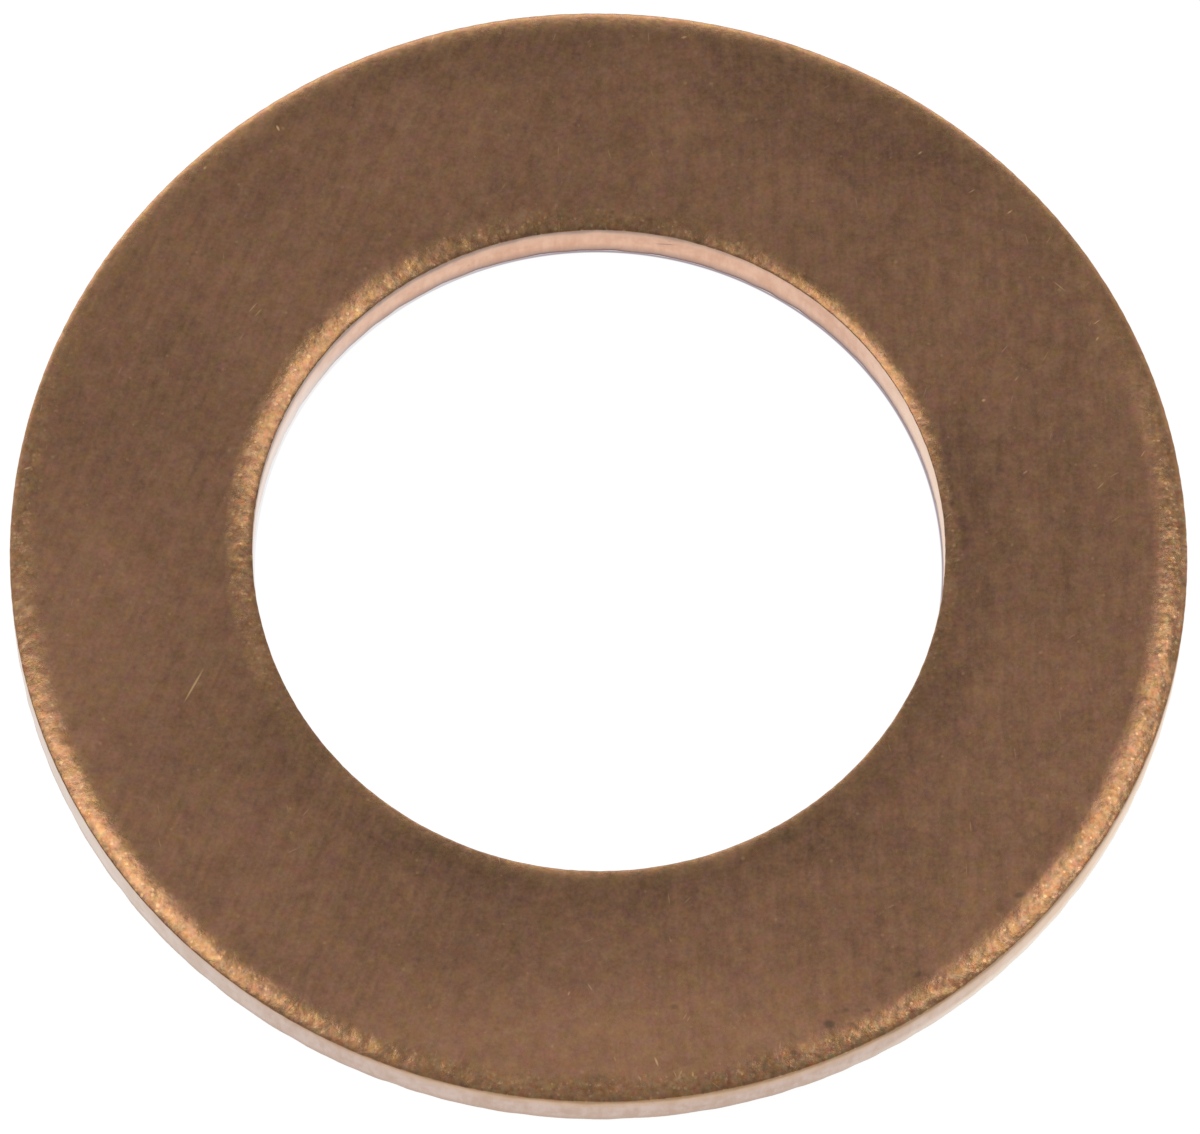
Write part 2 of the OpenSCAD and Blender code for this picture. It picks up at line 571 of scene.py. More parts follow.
@dataclass(frozen=True)
class FaceFinish:
    """Tarnished copper of the two faces and the rolled bands, with grain, scratches and pits, under painted
    light and shade: a painted shade and a painted sheen on the bands' rims, and painted glints on the bands.

    A span is where a change begins and ends, in millimetres: from the left streaks to the right ones, and from
    the front of the outer rim, which has no painted sheen, to its back, where the painted sheen is full.
    """

    tarnish: Colour = (0.2600, 0.1304, 0.0696)
    burnish: Colour = (0.282, 0.1505, 0.067)
    bright: Colour = (0.82, 0.53, 0.26)
    pit: Colour = (0.085, 0.051, 0.035)
    burnished: float = 0.6
    roughness: float = 0.28
    roughness_swing: float = 0.12
    film: float = 0.3
    film_roughness: float = 0.5
    # Painted shade on both rims, and a painted sheen on the outer rim towards the back
    rim_shade: float = 0.08
    rim_back_sheen: float = 0.45
    back_sheen_span: tuple[float, float] = (-9.0, -3.0)
    cloud: Layer = Layer(0.50, tone=0.24, rough=0.5)
    green: Layer = Layer(0.20, tone=0.46, shift=(31.0, 17.0, 5.0))
    blue: Layer = Layer(0.20, tone=0.80, shift=(5.0, 61.0, 9.0))
    gilding: Layer = Layer(0.11, band_tone=0.70, shift=(11.0, 3.0, 37.0))
    gilding_blue: float = 1.5
    layers: tuple[Layer, ...] = (
        Layer(0.070, tone=0.62, relief=0.0024),
        Layer(0.20, tone=0.57, relief=0.0030),
        Layer(3.2, tone=0.34, rough=0.5),
        Layer(0.080, band_tone=0.60, band_relief=0.0019, shift=(7.0, 43.0, 3.0)),
        Layer(0.16, band_tone=0.80, shift=(3.0, 5.0, 71.0)),
        Layer(0.28, band_relief=0.013, detail=1.0, rough=0.4),
    )
    left_streaks: Streaks = Streaks(0.14, 70.0, 12.0)
    right_streaks: Streaks = Streaks(0.17, 94.0, 6.0)
    streak_span: tuple[float, float] = (-5.0, 4.0)
    streak_tone: float = 0.48
    stray: StrayScratches = StrayScratches()
    flecks: Dots = Dots(0.24, 0.09, 0.06, strength=0.13)
    # Bright dots on the bands are painted glints, scaled by the bands' grain
    painted_glints: Dots = Dots(0.10, 0.08, 0.18, strength=0.22)
    pits: Dots = Dots(0.14, 0.11, 0.18, strength=0.15)
    edge_pits: float = 0.2

    def grained(self, sheet: Sheet, place: Socket, band: Socket) -> tuple[Socket, Socket]:
        """Adds up the layers of noise.

        Args:
            sheet: where the nodes go.
            place: where they are read, in millimetres.
            band: how coarse the grain of the rolled bands is, and 0 on the flat face.

        Returns:
            The tone, about 1, and the height in millimetres, about 0.
        """
        tone, height = 1.0, 0.0
        for layer in self.layers:
            noise = sheet.maths("SUBTRACT", layer.texture(sheet, place), 0.5)
            share = sheet.maths("MULTIPLY_ADD", band, layer.band_tone, layer.tone)
            tone = sheet.maths("MULTIPLY_ADD", noise, share, tone)
            if layer.relief or layer.band_relief:
                depth = sheet.maths("MULTIPLY_ADD", band, layer.band_relief, layer.relief)
                height = sheet.maths("MULTIPLY_ADD", noise, depth, height)
        right = sheet.spread(sheet.split(place)[0], *self.streak_span, 0.0, 1.0)
        at_left, at_right = (s.texture(sheet, place) for s in (self.left_streaks, self.right_streaks))
        streak = sheet.maths("MULTIPLY_ADD", sheet.maths("SUBTRACT", at_right, at_left), right, at_left)
        tone = sheet.maths("MULTIPLY_ADD", sheet.maths("SUBTRACT", streak, 0.5), self.streak_tone, tone)
        return tone, height

    def hued(self, sheet: Sheet, place: Socket, band: Socket, colour: Socket) -> Socket:
        """Turns patches of a colour greener or redder and yellower or bluer, and gilds small patches of the
        bands.

        Args:
            sheet: where the nodes go.
            place: where the patches are read, in millimetres.
            band: how coarse the grain of the rolled bands is, and 0 on the flat face.
            colour: the colour that is turned.

        Returns:
            The colour, with its green and blue each scaled by a noise about 1. Gilding pales some patches and
            deepens others: it is added to the scale of the green, and more of it to that of the blue.
        """
        layers = (self.green, self.blue, self.gilding)
        green, blue, gilding = (sheet.maths("SUBTRACT", each.texture(sheet, place), 0.5) for each in layers)
        gilding = sheet.maths("MULTIPLY", sheet.maths("MULTIPLY", gilding, band), self.gilding.band_tone)
        greener = sheet.maths("MULTIPLY_ADD", green, self.green.tone, sheet.maths("ADD", gilding, 1.0))
        paler = sheet.maths("MULTIPLY_ADD", gilding, self.gilding_blue, 1.0)
        bluer = sheet.maths("MULTIPLY_ADD", blue, self.blue.tone, paler)
        return sheet.vectors("MULTIPLY", colour, sheet.joined(1.0, greener, bluer))

    def rim_sheen_and_shade(self, sheet: Sheet, place: Socket, roll: Socket) -> Socket:
        """Works out the painted light and shade on the bands' very rim.

        Args:
            sheet: where the nodes go.
            place: where it is read, in millimetres.
            roll: how far a point is across its band.

        Returns:
            The tone to add: both rims get a painted shade, and the outer one a painted sheen that grows
                towards the back and is left out in front.
        """
        x, y, _ = sheet.split(place)
        outside = sheet.spread(sheet.length(place), *SIDE_SPAN, 0.0, 1.0)
        behind = sheet.spread(sheet.maths("MULTIPLY_ADD", x, 0.5, y), *self.back_sheen_span, 0.0, self.rim_back_sheen)
        worn = sheet.maths("SUBTRACT", sheet.maths("MULTIPLY", outside, behind), self.rim_shade)
        return sheet.maths("MULTIPLY", sheet.spread(roll, *RIM_SPAN, 0.0, 1.0), worn)

    def shining(self, sheet: Sheet, groups: Groups, place: Socket, band: Socket) -> Socket:
        """Adds up what shines on the surface.

        Args:
            sheet: where the nodes go.
            groups: the shared node groups.
            place: where it is read, in millimetres.
            band: how coarse the grain of the rolled bands is, and 0 on the flat face.

        Returns:
            The sum of the stray and the listed scratches, the flecks and the painted glints on the bands.
        """
        stray, flecks, painted_glints = (
            kind.texture(sheet, groups, place) for kind in (self.stray, self.flecks, self.painted_glints)
        )
        cuts = strokes(sheet, groups, place, SCRATCHES, sheet.maths("ADD", stray, flecks))
        return sheet.maths("MULTIPLY_ADD", painted_glints, band, cuts)

    def pitted(self, sheet: Sheet, groups: Groups, place: Socket, roll: Socket, band: Socket) -> Socket:
        """Adds up what is dark on the surface.

        Args:
            sheet: where the nodes go.
            groups: the shared node groups.
            place: where it is read, in millimetres.
            roll: how far a point is across its band.
            band: how coarse the grain of the rolled bands is, and 0 on the flat face.

        Returns:
            The sum of the pits of the bands, with some more at their edge, and the listed spots.
        """
        edge = sheet.spread(roll, *EDGE_SPAN, 0.0, 1.0)
        share = sheet.maths("MULTIPLY_ADD", edge, self.edge_pits, band)
        pits = sheet.maths("MULTIPLY", self.pits.texture(sheet, groups, place), share)
        return strokes(sheet, groups, place, SPOTS, pits)

    def build(self, groups: Groups) -> bpy.types.Material:
        """Makes the material.

        Args:
            groups: the shared node groups.

        Returns:
            The material, whose colour, roughness and normal change over the surface.
        """
        material, sheet, shader = new_material("tarnished_copper")
        place = millimetres(sheet)
        roll, grain_and_glints, stain = map(sheet.attribute, (ROLL_ATTRIBUTE, GRAIN_ATTRIBUTE, TARNISH_AND_LIGHT_ATTRIBUTE))
        tone, height = self.grained(sheet, place, grain_and_glints)
        cloud = sheet.maths("SUBTRACT", self.cloud.texture(sheet, place), 0.5)
        tone = sheet.maths("MULTIPLY_ADD", cloud, self.cloud.tone, tone)
        # Tarnish patches and painted light and shade, then the smudges
        tone = strokes(sheet, groups, place, SMUDGES, sheet.maths("ADD", tone, stain))
        # Painted shade and sheen on the rims
        tone = sheet.maths("ADD", tone, self.rim_sheen_and_shade(sheet, place, roll))

        band = sheet.spread(roll, *BAND_SPAN, 0.0, self.burnished)
        colour = self.hued(sheet, place, grain_and_glints, sheet.blend(band, self.tarnish, self.burnish))
        colour = sheet.scaled(colour, tone)
        # Scratches and flecks in bright copper, and painted glints on the bands
        colour = sheet.blend(self.shining(sheet, groups, place, grain_and_glints), colour, self.bright)
        colour = sheet.blend(self.pitted(sheet, groups, place, roll, grain_and_glints), colour, self.pit)
        rough = sheet.maths("MULTIPLY_ADD", cloud, self.roughness_swing, self.roughness)
        dress_metal(sheet, shader, colour, rough, height)
        shader.inputs["Coat Weight"].default_value = self.film
        shader.inputs["Coat Roughness"].default_value = self.film_roughness
        return material


@dataclass(frozen=True)
class WallFinishAndPaintedLight:
    """Bare copper where the stamp sheared the sheet, with upright streaks and stained patches, under painted
    light and shade: painted reflections at the sides, a warm painted reflection and a dark painted line at the
    lip, a painted shade at the foot and a painted glare low on the lit side.

    Lengths are in millimetres. A span is where a change begins and ends: heights for the warm painted
    reflection, which are counted from the lip's, and for the painted glare's fade, and shares of the circle's
    radius for the painted glare.
    """

    name: str
    circle: float
    clean: Colour
    stained: Colour
    # pale, lip, foot, right_reflection, warm and glare are colours of painted reflection and shade; the wall's
    # marks and specks take the foot's colour too
    pale: Colour
    lip: Colour
    foot: Colour
    right_reflection: Colour
    warm: Colour
    glare: Colour
    glare_span: tuple[float, float]
    lit_side: float
    lip_lean: float
    lip_from: float
    foot_to: float
    aside_from: float
    lip_to: float = 0.98
    warm_span: tuple[float, float] = (-0.25, 0.12)
    glare_fade: tuple[float, float] = (0.10, 0.42)
    stain_span: tuple[float, float] = (0.40, 0.72)
    ragged: float = 0.16
    streak_size: float = 0.12
    streak_rise: float = 0.25
    streak_relief: float = 0.003
    cloud_size: float = 0.5
    specks: Dots = Dots(0.40, 0.10, 0.03, strength=0.3)
    speck_relief: float = -0.01
    roughness: float = 0.33
    roughness_swing: float = 0.2
    marks: tuple[Mark, ...] = ()

    def overlays(self, sheet: Sheet, x: Socket, z: Socket, uneven: Socket) -> list[tuple[Socket, Colour]]:
        """Works out the painted light and shade that lie over the plain wall.

        Args:
            sheet: where the nodes go.
            x: first coordinate of a point, in millimetres.
            z: its height, in millimetres.
            uneven: noise about 0, which makes their borders ragged.

        Returns:
            The share and the colour of each, from the lowest: the warm painted reflection, the dark painted
            line of the lip, the painted shade at the foot and the painted glare.
        """
        height = sheet.maths("MULTIPLY_ADD", uneven, self.ragged, z)
        lit = sheet.maths("MULTIPLY", x, self.lit_side / self.circle)
        near_lip = sheet.maths("MULTIPLY_ADD", lit, self.lip_lean, height)
        # The warm painted reflection and the dark painted line of the lip fade towards the side away from the
        # lamps
        kept = sheet.spread(lit, -0.7, 0.0, 0.15, 1.0)
        warm = sheet.spread(near_lip, *(self.lip_from + step for step in self.warm_span), 0.0, 0.8)
        lip = sheet.spread(near_lip, self.lip_from, self.lip_to, 0.0, 0.9)
        # Painted shade at the foot, where the wall meets the floor
        foot = sheet.spread(height, 0.0, self.foot_to, 0.85, 0.0)
        # Painted glare, low on the side towards the lamps
        glare = sheet.spread(lit, *self.glare_span, 0.0, 0.8)
        low = sheet.spread(height, *self.glare_fade, 1.0, 0.0)
        return [
            (sheet.maths("MULTIPLY", warm, kept), self.warm),
            (sheet.maths("MULTIPLY", lip, kept), self.lip),
            (foot, self.foot),
            (sheet.maths("MULTIPLY", glare, low), self.glare),
        ]

    def build(self, groups: Groups) -> bpy.types.Material:
        """Makes the material.

        Args:
            groups: the shared node groups.

        Returns:
            The material, whose colour, roughness and normal change over the surface.
        """
        material, sheet, shader = new_material(self.name)
        place = millimetres(sheet)
        x, _, z = sheet.split(place)
        polar = sheet.group(groups.polar, {"Vector": place, "Circle": self.circle}).outputs
        rise = sheet.joined(0.0, 0.0, sheet.maths("MULTIPLY", z, self.streak_rise))
        streak = sheet.noise(sheet.vectors("ADD", polar["Around"], rise), self.streak_size, 2.0, 0.6)
        cloud = sheet.noise(place, self.cloud_size, 3.0, 0.6)
        uneven = sheet.maths("SUBTRACT", cloud, 0.5)
        specks = self.specks.texture(sheet, groups, polar["Unrolled"])

        tone = sheet.maths("MULTIPLY_ADD", streak, 0.5, sheet.maths("MULTIPLY", cloud, 0.6))
        colour = sheet.blend(sheet.spread(tone, *self.stain_span, 0.0, 1.0), self.clean, self.stained)
        # Painted reflections where the wall is seen edge-on, at the left and at the right
        right = sheet.spread(x, -0.3 * self.circle, 0.3 * self.circle, 0.0, 1.0)
        aside = sheet.spread(sheet.maths("ABSOLUTE", x), self.aside_from * self.circle, self.circle, 0.0, 0.9)
        colour = sheet.blend(aside, colour, sheet.blend(right, self.pale, self.right_reflection))
        for share, over in self.overlays(sheet, x, z, uneven):
            colour = sheet.blend(share, colour, over)
        dark = strokes(sheet, groups, polar["Unrolled"], self.marks, specks)
        colour = sheet.blend(dark, colour, self.foot)
        rough = sheet.maths("MULTIPLY_ADD", uneven, self.roughness_swing, self.roughness)
        dents = sheet.maths("MULTIPLY", specks, self.speck_relief)
        height = sheet.maths("MULTIPLY_ADD", streak, self.streak_relief, dents)
        dress_metal(sheet, shader, colour, rough, height)
        return material


class Zone(Enum):
    """Stretches of the ring's section."""

    LOWER_FACE = "lower face"
    OUTER_WALL = "outer wall"
    OUTER_ROLL = "outer rolled band"
    UPPER_FACE = "upper face"
    BORE_ROLL = "bore rolled band"
    BORE_WALL = "bore wall"


def line(start: tuple[float, float], end: tuple[float, float], steps: int) -> np.ndarray:
    """Even points along a straight stretch.

    Args:
        start: first point, as radius and height.
        end: last point, which is left to the next stretch.
        steps: how many points there are.

    Returns:
        The points, one row each: start + share * (end - start).
    """
    share = np.linspace(0.0, 1.0, steps, endpoint=False)[:, None]
    return np.array(start) + share * (np.array(end) - np.array(start))


def arc(centre: tuple[float, float], radius: float, begin: float, end: float, steps: int) -> np.ndarray:
    """Even points along a round stretch.

    Args:
        centre: its centre, as radius and height.
        radius: its own radius.
        begin: angle of its first point, in degrees from the outward direction.
        end: angle of its last point, which is left to the next stretch.
        steps: how many points there are.

    Returns:
        The points, one row each: centre + radius * (cosine, sine) of the angle.
    """
    angle = np.radians(np.linspace(begin, end, steps, endpoint=False))
    return np.array(centre) + radius * np.stack([np.cos(angle), np.sin(angle)], axis=1)


@dataclass(frozen=True)
class Waver:
    """Unevenness round the ring, the same on every run: a sum of waves with random phases."""

    seed: int
    fewest: int
    most: int
    count: int = 24
    upright: float = 0.0

    def at(self, theta: np.ndarray, along: np.ndarray | float = 0.0) -> np.ndarray:
        """Reads the unevenness.

        Args:
            theta: angles round the ring.
            along: way along the section, in millimetres, on the same grid.

        Returns:
            The sum of cos(number * theta + pitch * along + phase) over the waves, over sqrt(count / 2).
        """
        random = np.random.default_rng(self.seed)
        number = random.integers(self.fewest, self.most + 1, self.count)
        phase = random.uniform(0.0, 2.0 * math.pi, self.count)
        pitch = random.uniform(-self.upright, self.upright, self.count)
        total = np.zeros(np.broadcast(theta, along).shape)
        for n, p, k in zip(number, phase, pitch):
            total += np.cos(n * theta + k * along + p)
        return total / math.sqrt(self.count / 2.0)


@dataclass(frozen=True)
class Roll:
    """One rolled band: the face leaves its level on an arc and drops towards the rim.

    Lengths are in millimetres. Its sizes are pairs of an angle in degrees from +X and how large the band is
    there, as a share of its plain form.
    """

    width: float
    drop: float
    sizes: tuple[tuple[float, float], ...]
    waver: Waver
    wavering: float

    @property
    def radius(self) -> float:
        """Radius of the arc, (width ** 2 + drop ** 2) / (2 * drop)."""
        return (self.width ** 2 + self.drop ** 2) / (2.0 * self.drop)

    def dip(self, inward: np.ndarray) -> np.ndarray:
        """Works out how far the band lies below the face.

        Args:
            inward: distances from the rim.

        Returns:
            The dips, radius - sqrt(radius ** 2 - left ** 2), where left is what is left of the width.
        """
        left = np.clip(self.width - inward, 0.0, None)
        return self.radius - np.sqrt(self.radius ** 2 - left ** 2)

    def growth(self, theta: np.ndarray) -> np.ndarray:
        """Works out how large the band is.

        Args:
            theta: angles round the ring.

        Returns:
            Its sizes, read between their angles, plus small waves.
        """
        angles, sizes = zip(*self.sizes)
        plain = np.interp(np.degrees(theta), angles, sizes, period=360.0)
        return plain + self.wavering * self.waver.at(theta)


@dataclass(frozen=True)
class Bite:
    """How far a surface draws back into the metal, unevenly round the ring. Lengths are in millimetres."""

    waver: Waver
    mean: float
    swing: float
    most: float
    least: float = 0.0

    def depth(self, theta: np.ndarray, along: np.ndarray | float = 0.0) -> np.ndarray:
        """Returns the depths, mean + swing * waver, kept between the least and the most."""
        return np.clip(self.mean + self.swing * self.waver.at(theta, along), self.least, self.most)


@dataclass
class Ring:
    """The stamped ring: its section, its skin and its finishes. Sizes are in millimetres.

    Each pair of bites is that of the outer rim and that of the bore.
    """

    outer_r: float
    bore_r: float
    thickness: float
    outer_roll: Roll = Roll(
        0.7, 0.14, waver=Waver(11, 6, 36), wavering=0.015,
        sizes=(
            (0, 1.05), (20, 0.97), (90, 1.0), (135, 0.98), (195, 0.95),
            (215, 0.9), (275, 0.86), (310, 0.82), (330, 0.86), (345, 0.98),
        ),
    )
    bore_roll: Roll = Roll(
        0.55, 0.11, waver=Waver(12, 5, 24), wavering=0.018,
        sizes=(
            (0, 0.74), (45, 0.82), (90, 1.0), (135, 1.18),
            (180, 1.26), (225, 1.18), (270, 1.0), (315, 0.82),
        ),
    )
    upper_corner_r: float = 0.03
    lower_corner_r: float = 0.03
    turns: int = 1098
    sectors: int = 3
    steps: dict[Zone, int] = field(default_factory=lambda: {
        Zone.LOWER_FACE: 6, Zone.OUTER_WALL: 8, Zone.OUTER_ROLL: 16,
        Zone.UPPER_FACE: 12, Zone.BORE_ROLL: 16, Zone.BORE_WALL: 8,
    })
    corner_steps: int = 4
    verge_steps: int = 4
    verge: float = 0.4
    rim_depth: float = 0.06
    corner_reach: float = 0.05
    foot_reach: float = 0.30
    pebbled: float = 0.6
    pebbles: Bite = Bite(Waver(13, 40, 260, 60, 26.0), 0.0010, 0.0004, 0.0030, least=-0.0010)
    sag: Bite = Bite(Waver(51, 2, 24, 24, 2.0), 0.002, 0.0012, 0.008)
    corner_bites: tuple[Bite, Bite] = (
        Bite(Waver(21, 30, 300), 0.003, 0.002, 0.008),
        Bite(Waver(22, 20, 200), 0.003, 0.002, 0.008),
    )
    foot_bites: tuple[Bite, Bite] = (
        Bite(Waver(31, 12, 120), 0.005, 0.005, 0.018),
        Bite(Waver(32, 8, 80), 0.005, 0.005, 0.018),
    )
    shear_bites: tuple[Bite, Bite] = (
        Bite(Waver(41, 120, 500, 40), 0.0015, 0.0008, 0.005),
        Bite(Waver(42, 80, 300, 40), 0.0015, 0.0008, 0.005),
    )
    map_inset: float = 0.002
    map_lower_face: float = 0.35

    @classmethod
    def from_frame(cls) -> "Ring":
        """Takes the ring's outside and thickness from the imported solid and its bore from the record."""
        low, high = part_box(RING_NODE)
        bore = next(m for m in frame["record"]["mounts"] if m["name"] == "bore")
        return cls(outer_r=high.x / MM, bore_r=bore["dims"]["r_mm"], thickness=high.z / MM)

    def corner(self, roll: Roll) -> tuple[float, float]:
        """Works out one upper corner.

        Args:
            roll: the band that ends there.

        Returns:
            The band's slope at the corner's small arc in degrees, and the height of that arc's centre.
        """
        slope = math.asin((roll.width - self.upper_corner_r) / (roll.radius - self.upper_corner_r))
        height = self.thickness - roll.radius + (roll.radius - self.upper_corner_r) * math.cos(slope)
        return math.degrees(slope), height

    def section(self) -> tuple[np.ndarray, list[Zone]]:
        """Draws the closed section: up the outer wall, in over the top, down the bore and out below.

        Returns:
            The points as radius and height, and the zone of each step. The face has closer points on the
            verge of each band, where a band that is wider than its plain form ends.
        """
        r, f = self.upper_corner_r, self.lower_corner_r
        outer, bore, top = self.outer_r, self.bore_r, self.thickness
        flat_out, flat_in = outer - self.outer_roll.width, bore + self.bore_roll.width
        near_out, near_in = flat_out - self.verge, flat_in + self.verge
        out_r, in_r = self.outer_roll.radius, self.bore_roll.radius
        out_tilt, out_z = self.corner(self.outer_roll)
        in_tilt, in_z = self.corner(self.bore_roll)
        n, m, v = self.corner_steps, self.steps, self.verge_steps
        stretches = [
            (Zone.OUTER_WALL, arc((outer - f, f), f, -90, 0, n)),
            (Zone.OUTER_WALL, line((outer, f), (outer, out_z), m[Zone.OUTER_WALL])),
            (Zone.OUTER_ROLL, arc((outer - r, out_z), r, 0, 90 - out_tilt, n)),
            (Zone.OUTER_ROLL, arc((flat_out, top - out_r), out_r, 90 - out_tilt, 90, m[Zone.OUTER_ROLL])),
            (Zone.UPPER_FACE, line((flat_out, top), (near_out, top), v)),
            (Zone.UPPER_FACE, line((near_out, top), (near_in, top), m[Zone.UPPER_FACE])),
            (Zone.UPPER_FACE, line((near_in, top), (flat_in, top), v)),
            (Zone.BORE_ROLL, arc((flat_in, top - in_r), in_r, 90, 90 + in_tilt, m[Zone.BORE_ROLL])),
            (Zone.BORE_ROLL, arc((bore + r, in_z), r, 90 + in_tilt, 180, n)),
            (Zone.BORE_WALL, line((bore, in_z), (bore, f), m[Zone.BORE_WALL])),
            (Zone.BORE_WALL, arc((bore + f, f), f, 180, 270, n)),
            (Zone.LOWER_FACE, line((bore + f, 0.0), (outer - f, 0.0), m[Zone.LOWER_FACE])),
        ]
        points = np.concatenate([p for _, p in stretches])
        return points, [zone for zone, p in stretches for _ in p]

    def rolled(self, points: np.ndarray, theta: np.ndarray) -> tuple[np.ndarray, np.ndarray]:
        """Gives the bands the size that they have at each angle.

        A band that is grown by some share is its plain form made that much larger about the rim, so its dip
        is growth * dip(inward / growth). The wall below is stretched or shortened to meet it.

        Args:
            points: the plain section.
            theta: angles round the ring, one row each.

        Returns:
            The heights on a grid of angles by section points, and how far each point is across its band, from
            0 at the face to 1 at the rim.
        """
        radius, z = points.T
        outside = radius > 0.5 * (self.outer_r + self.bore_r)
        bands = ((self.outer_roll, self.outer_r - radius), (self.bore_roll, radius - self.bore_r))
        heights, across = [], []
        for roll, inward in bands:
            growth = roll.growth(theta)
            _, wall_top = self.corner(roll)
            on_top = z > self.thickness - roll.dip(inward) - TINY
            wall = z - (growth - 1.0) * roll.drop * np.clip(z / wall_top, 0.0, 1.0)
            heights.append(np.where(on_top, self.thickness - growth * roll.dip(inward / growth), wall))
            across.append(np.clip(1.0 - inward / (growth * roll.width), 0.0, 1.0) * (z > wall_top - TINY))
        return np.where(outside, *heights), np.where(outside, *across)

    def skin(self) -> tuple[np.ndarray, list[Zone], np.ndarray]:
        """Carries the section round the axis and makes it uneven.

        A point at angle theta is (radius * cos theta, radius * sin theta, height). The rolled bands vary in
        size round the ring and are pebbled, the walls, their feet and the upper corners draw back into the
        metal by waves, and the upper face rises and falls a little. Nothing leaves the plain ring's box.

        Returns:
            The points on a grid of angles by section steps, the zone of each step, and how far each point is
            across its rolled band, on the same grid.
        """
        points, zones = self.section()
        theta = np.linspace(0.0, 2.0 * math.pi, self.turns, endpoint=False)[:, None]
        height, across = self.rolled(points, theta)
        reach, level = points.T
        radius = np.broadcast_to(reach, height.shape).copy()
        middle = 0.5 * (self.outer_r + self.bore_r)
        outward = np.where(reach > middle, 1.0, -1.0)
        rim = np.abs(reach - middle) > self.outer_r - middle - self.rim_depth
        corner = rim * np.exp(-((level - (self.thickness - self.outer_roll.drop)) / self.corner_reach) ** 2)
        foot = rim * np.clip(1.0 - level / self.foot_reach, 0.0, 1.0) ** 2
        wall = np.array([zone in (Zone.OUTER_WALL, Zone.BORE_WALL) for zone in zones])
        flat = np.array([zone is Zone.UPPER_FACE for zone in zones])

        # Ragged upper corners, feet where the sheet broke away unevenly, and upright shear lines on the walls
        bites = ((corner, self.corner_bites), (foot, self.foot_bites), (wall, self.shear_bites))
        for share, (outer, bore) in bites:
            radius -= outward * share * np.where(outward > 0.0, outer.depth(theta), bore.depth(theta))

        # Pebbles on the rolled bands, and an upper face that is not dead flat
        height -= np.clip(across, 0.0, self.pebbled) * self.pebbles.depth(theta, reach)
        height -= flat * self.sag.depth(theta, reach)

        grid = np.stack([radius * np.cos(theta), radius * np.sin(theta), height], axis=2)
        return grid * MM, zones, across

    def bake_map(self, zones: list[Zone]) -> np.ndarray:
        """Lays the skin out flat: the ring is cut into sectors, unrolled and stacked.

        Args:
            zones: the zone of each step of the section.

        Returns:
            The place of each face's four corners on the map, from 0 to 1. The first coordinate is the share
            of the sector's angle, and the second the share of the section's length, with the lower face drawn
            smaller.
        """
        points, _ = self.section()
        lengths = np.linalg.norm(np.roll(points, -1, axis=0) - points, axis=1)
        lengths *= np.where([zone is Zone.LOWER_FACE for zone in zones], self.map_lower_face, 1.0)
        ends = np.concatenate([[0.0], np.cumsum(lengths)]) / lengths.sum()
        per_sector = self.turns // self.sectors
        inset = self.map_inset
        i = np.arange(self.turns)[:, None, None]
        j = np.arange(len(zones))[None, :, None]
        step_i = np.array([0, 1, 1, 0])[None, None, :]
        step_j = np.array([0, 0, 1, 1])[None, None, :]
        across = inset + (1 - 2 * inset) * (i % per_sector + step_i) / per_sector
        up = (i // per_sector + inset + (1 - 2 * inset) * ends[j + step_j]) / self.sectors
        return np.stack(np.broadcast_arrays(across, up), axis=-1)

    @staticmethod
    def grain(across: np.ndarray, x: np.ndarray, y: np.ndarray) -> np.ndarray:
        """Works out how coarse the bands' grain is.

        Args:
            across: how far each point is across its band.
            x: first coordinates of the points.
            y: second coordinates of the points.

        Returns:
            0 on the face and about 1 on the bands, less where a band faces the back, and more to the right on
            the outer band and to the left on the inner one, which are the sides that face the right lamp. It
            scales the bands' relief and tone, and their painted glints.
        """
        outside = smooth(np.hypot(x, y), *SIDE_SPAN)
        turned = 1.0 - 2.0 * outside
        # Weighted towards where the lamps' highlights fall on the bands
        facing = 0.1 + 0.9 * smooth(y * turned, -6.0, 0.0)
        right_lamp_weight = 1.4 - 0.4 * smooth(x * turned, -4.0, 5.0)
        return smooth(across, *BAND_SPAN) * facing * right_lamp_weight * (0.75 + 0.25 * outside)

    def build(self) -> bpy.types.Object:
        """Makes the closed skin as one mesh object, with its zones as material numbers.

        Returns:
            The new object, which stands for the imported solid.
        """
        grid, zones, across = self.skin()
        turns, steps = grid.shape[:2]
        number = np.arange(turns * steps).reshape(turns, steps)
        ahead, above = np.roll(number, -1, axis=0), np.roll(number, -1, axis=1)
        corners = np.stack([number, ahead, np.roll(ahead, -1, axis=1), above], axis=2)
        mesh = bpy.data.meshes.new("copper_ring")
        mesh.vertices.add(turns * steps)
        mesh.vertices.foreach_set("co", grid.astype(np.float32).ravel())
        mesh.loops.add(corners.size)
        mesh.loops.foreach_set("vertex_index", corners.astype(np.int32).ravel())
        mesh.polygons.add(turns * steps)
        mesh.polygons.foreach_set("loop_start", np.arange(0, corners.size, 4, dtype=np.int32))
        finish = {Zone.OUTER_WALL: 1, Zone.BORE_WALL: 2}
        worn = np.array([finish.get(zone, 0) for zone in zones], dtype=np.int32)
        mesh.polygons.foreach_set("material_index", np.tile(worn, turns))
        mesh.update(calc_edges=True)
        mesh.shade_smooth()
        x, y, _ = np.moveaxis(grid / MM, 2, 0)
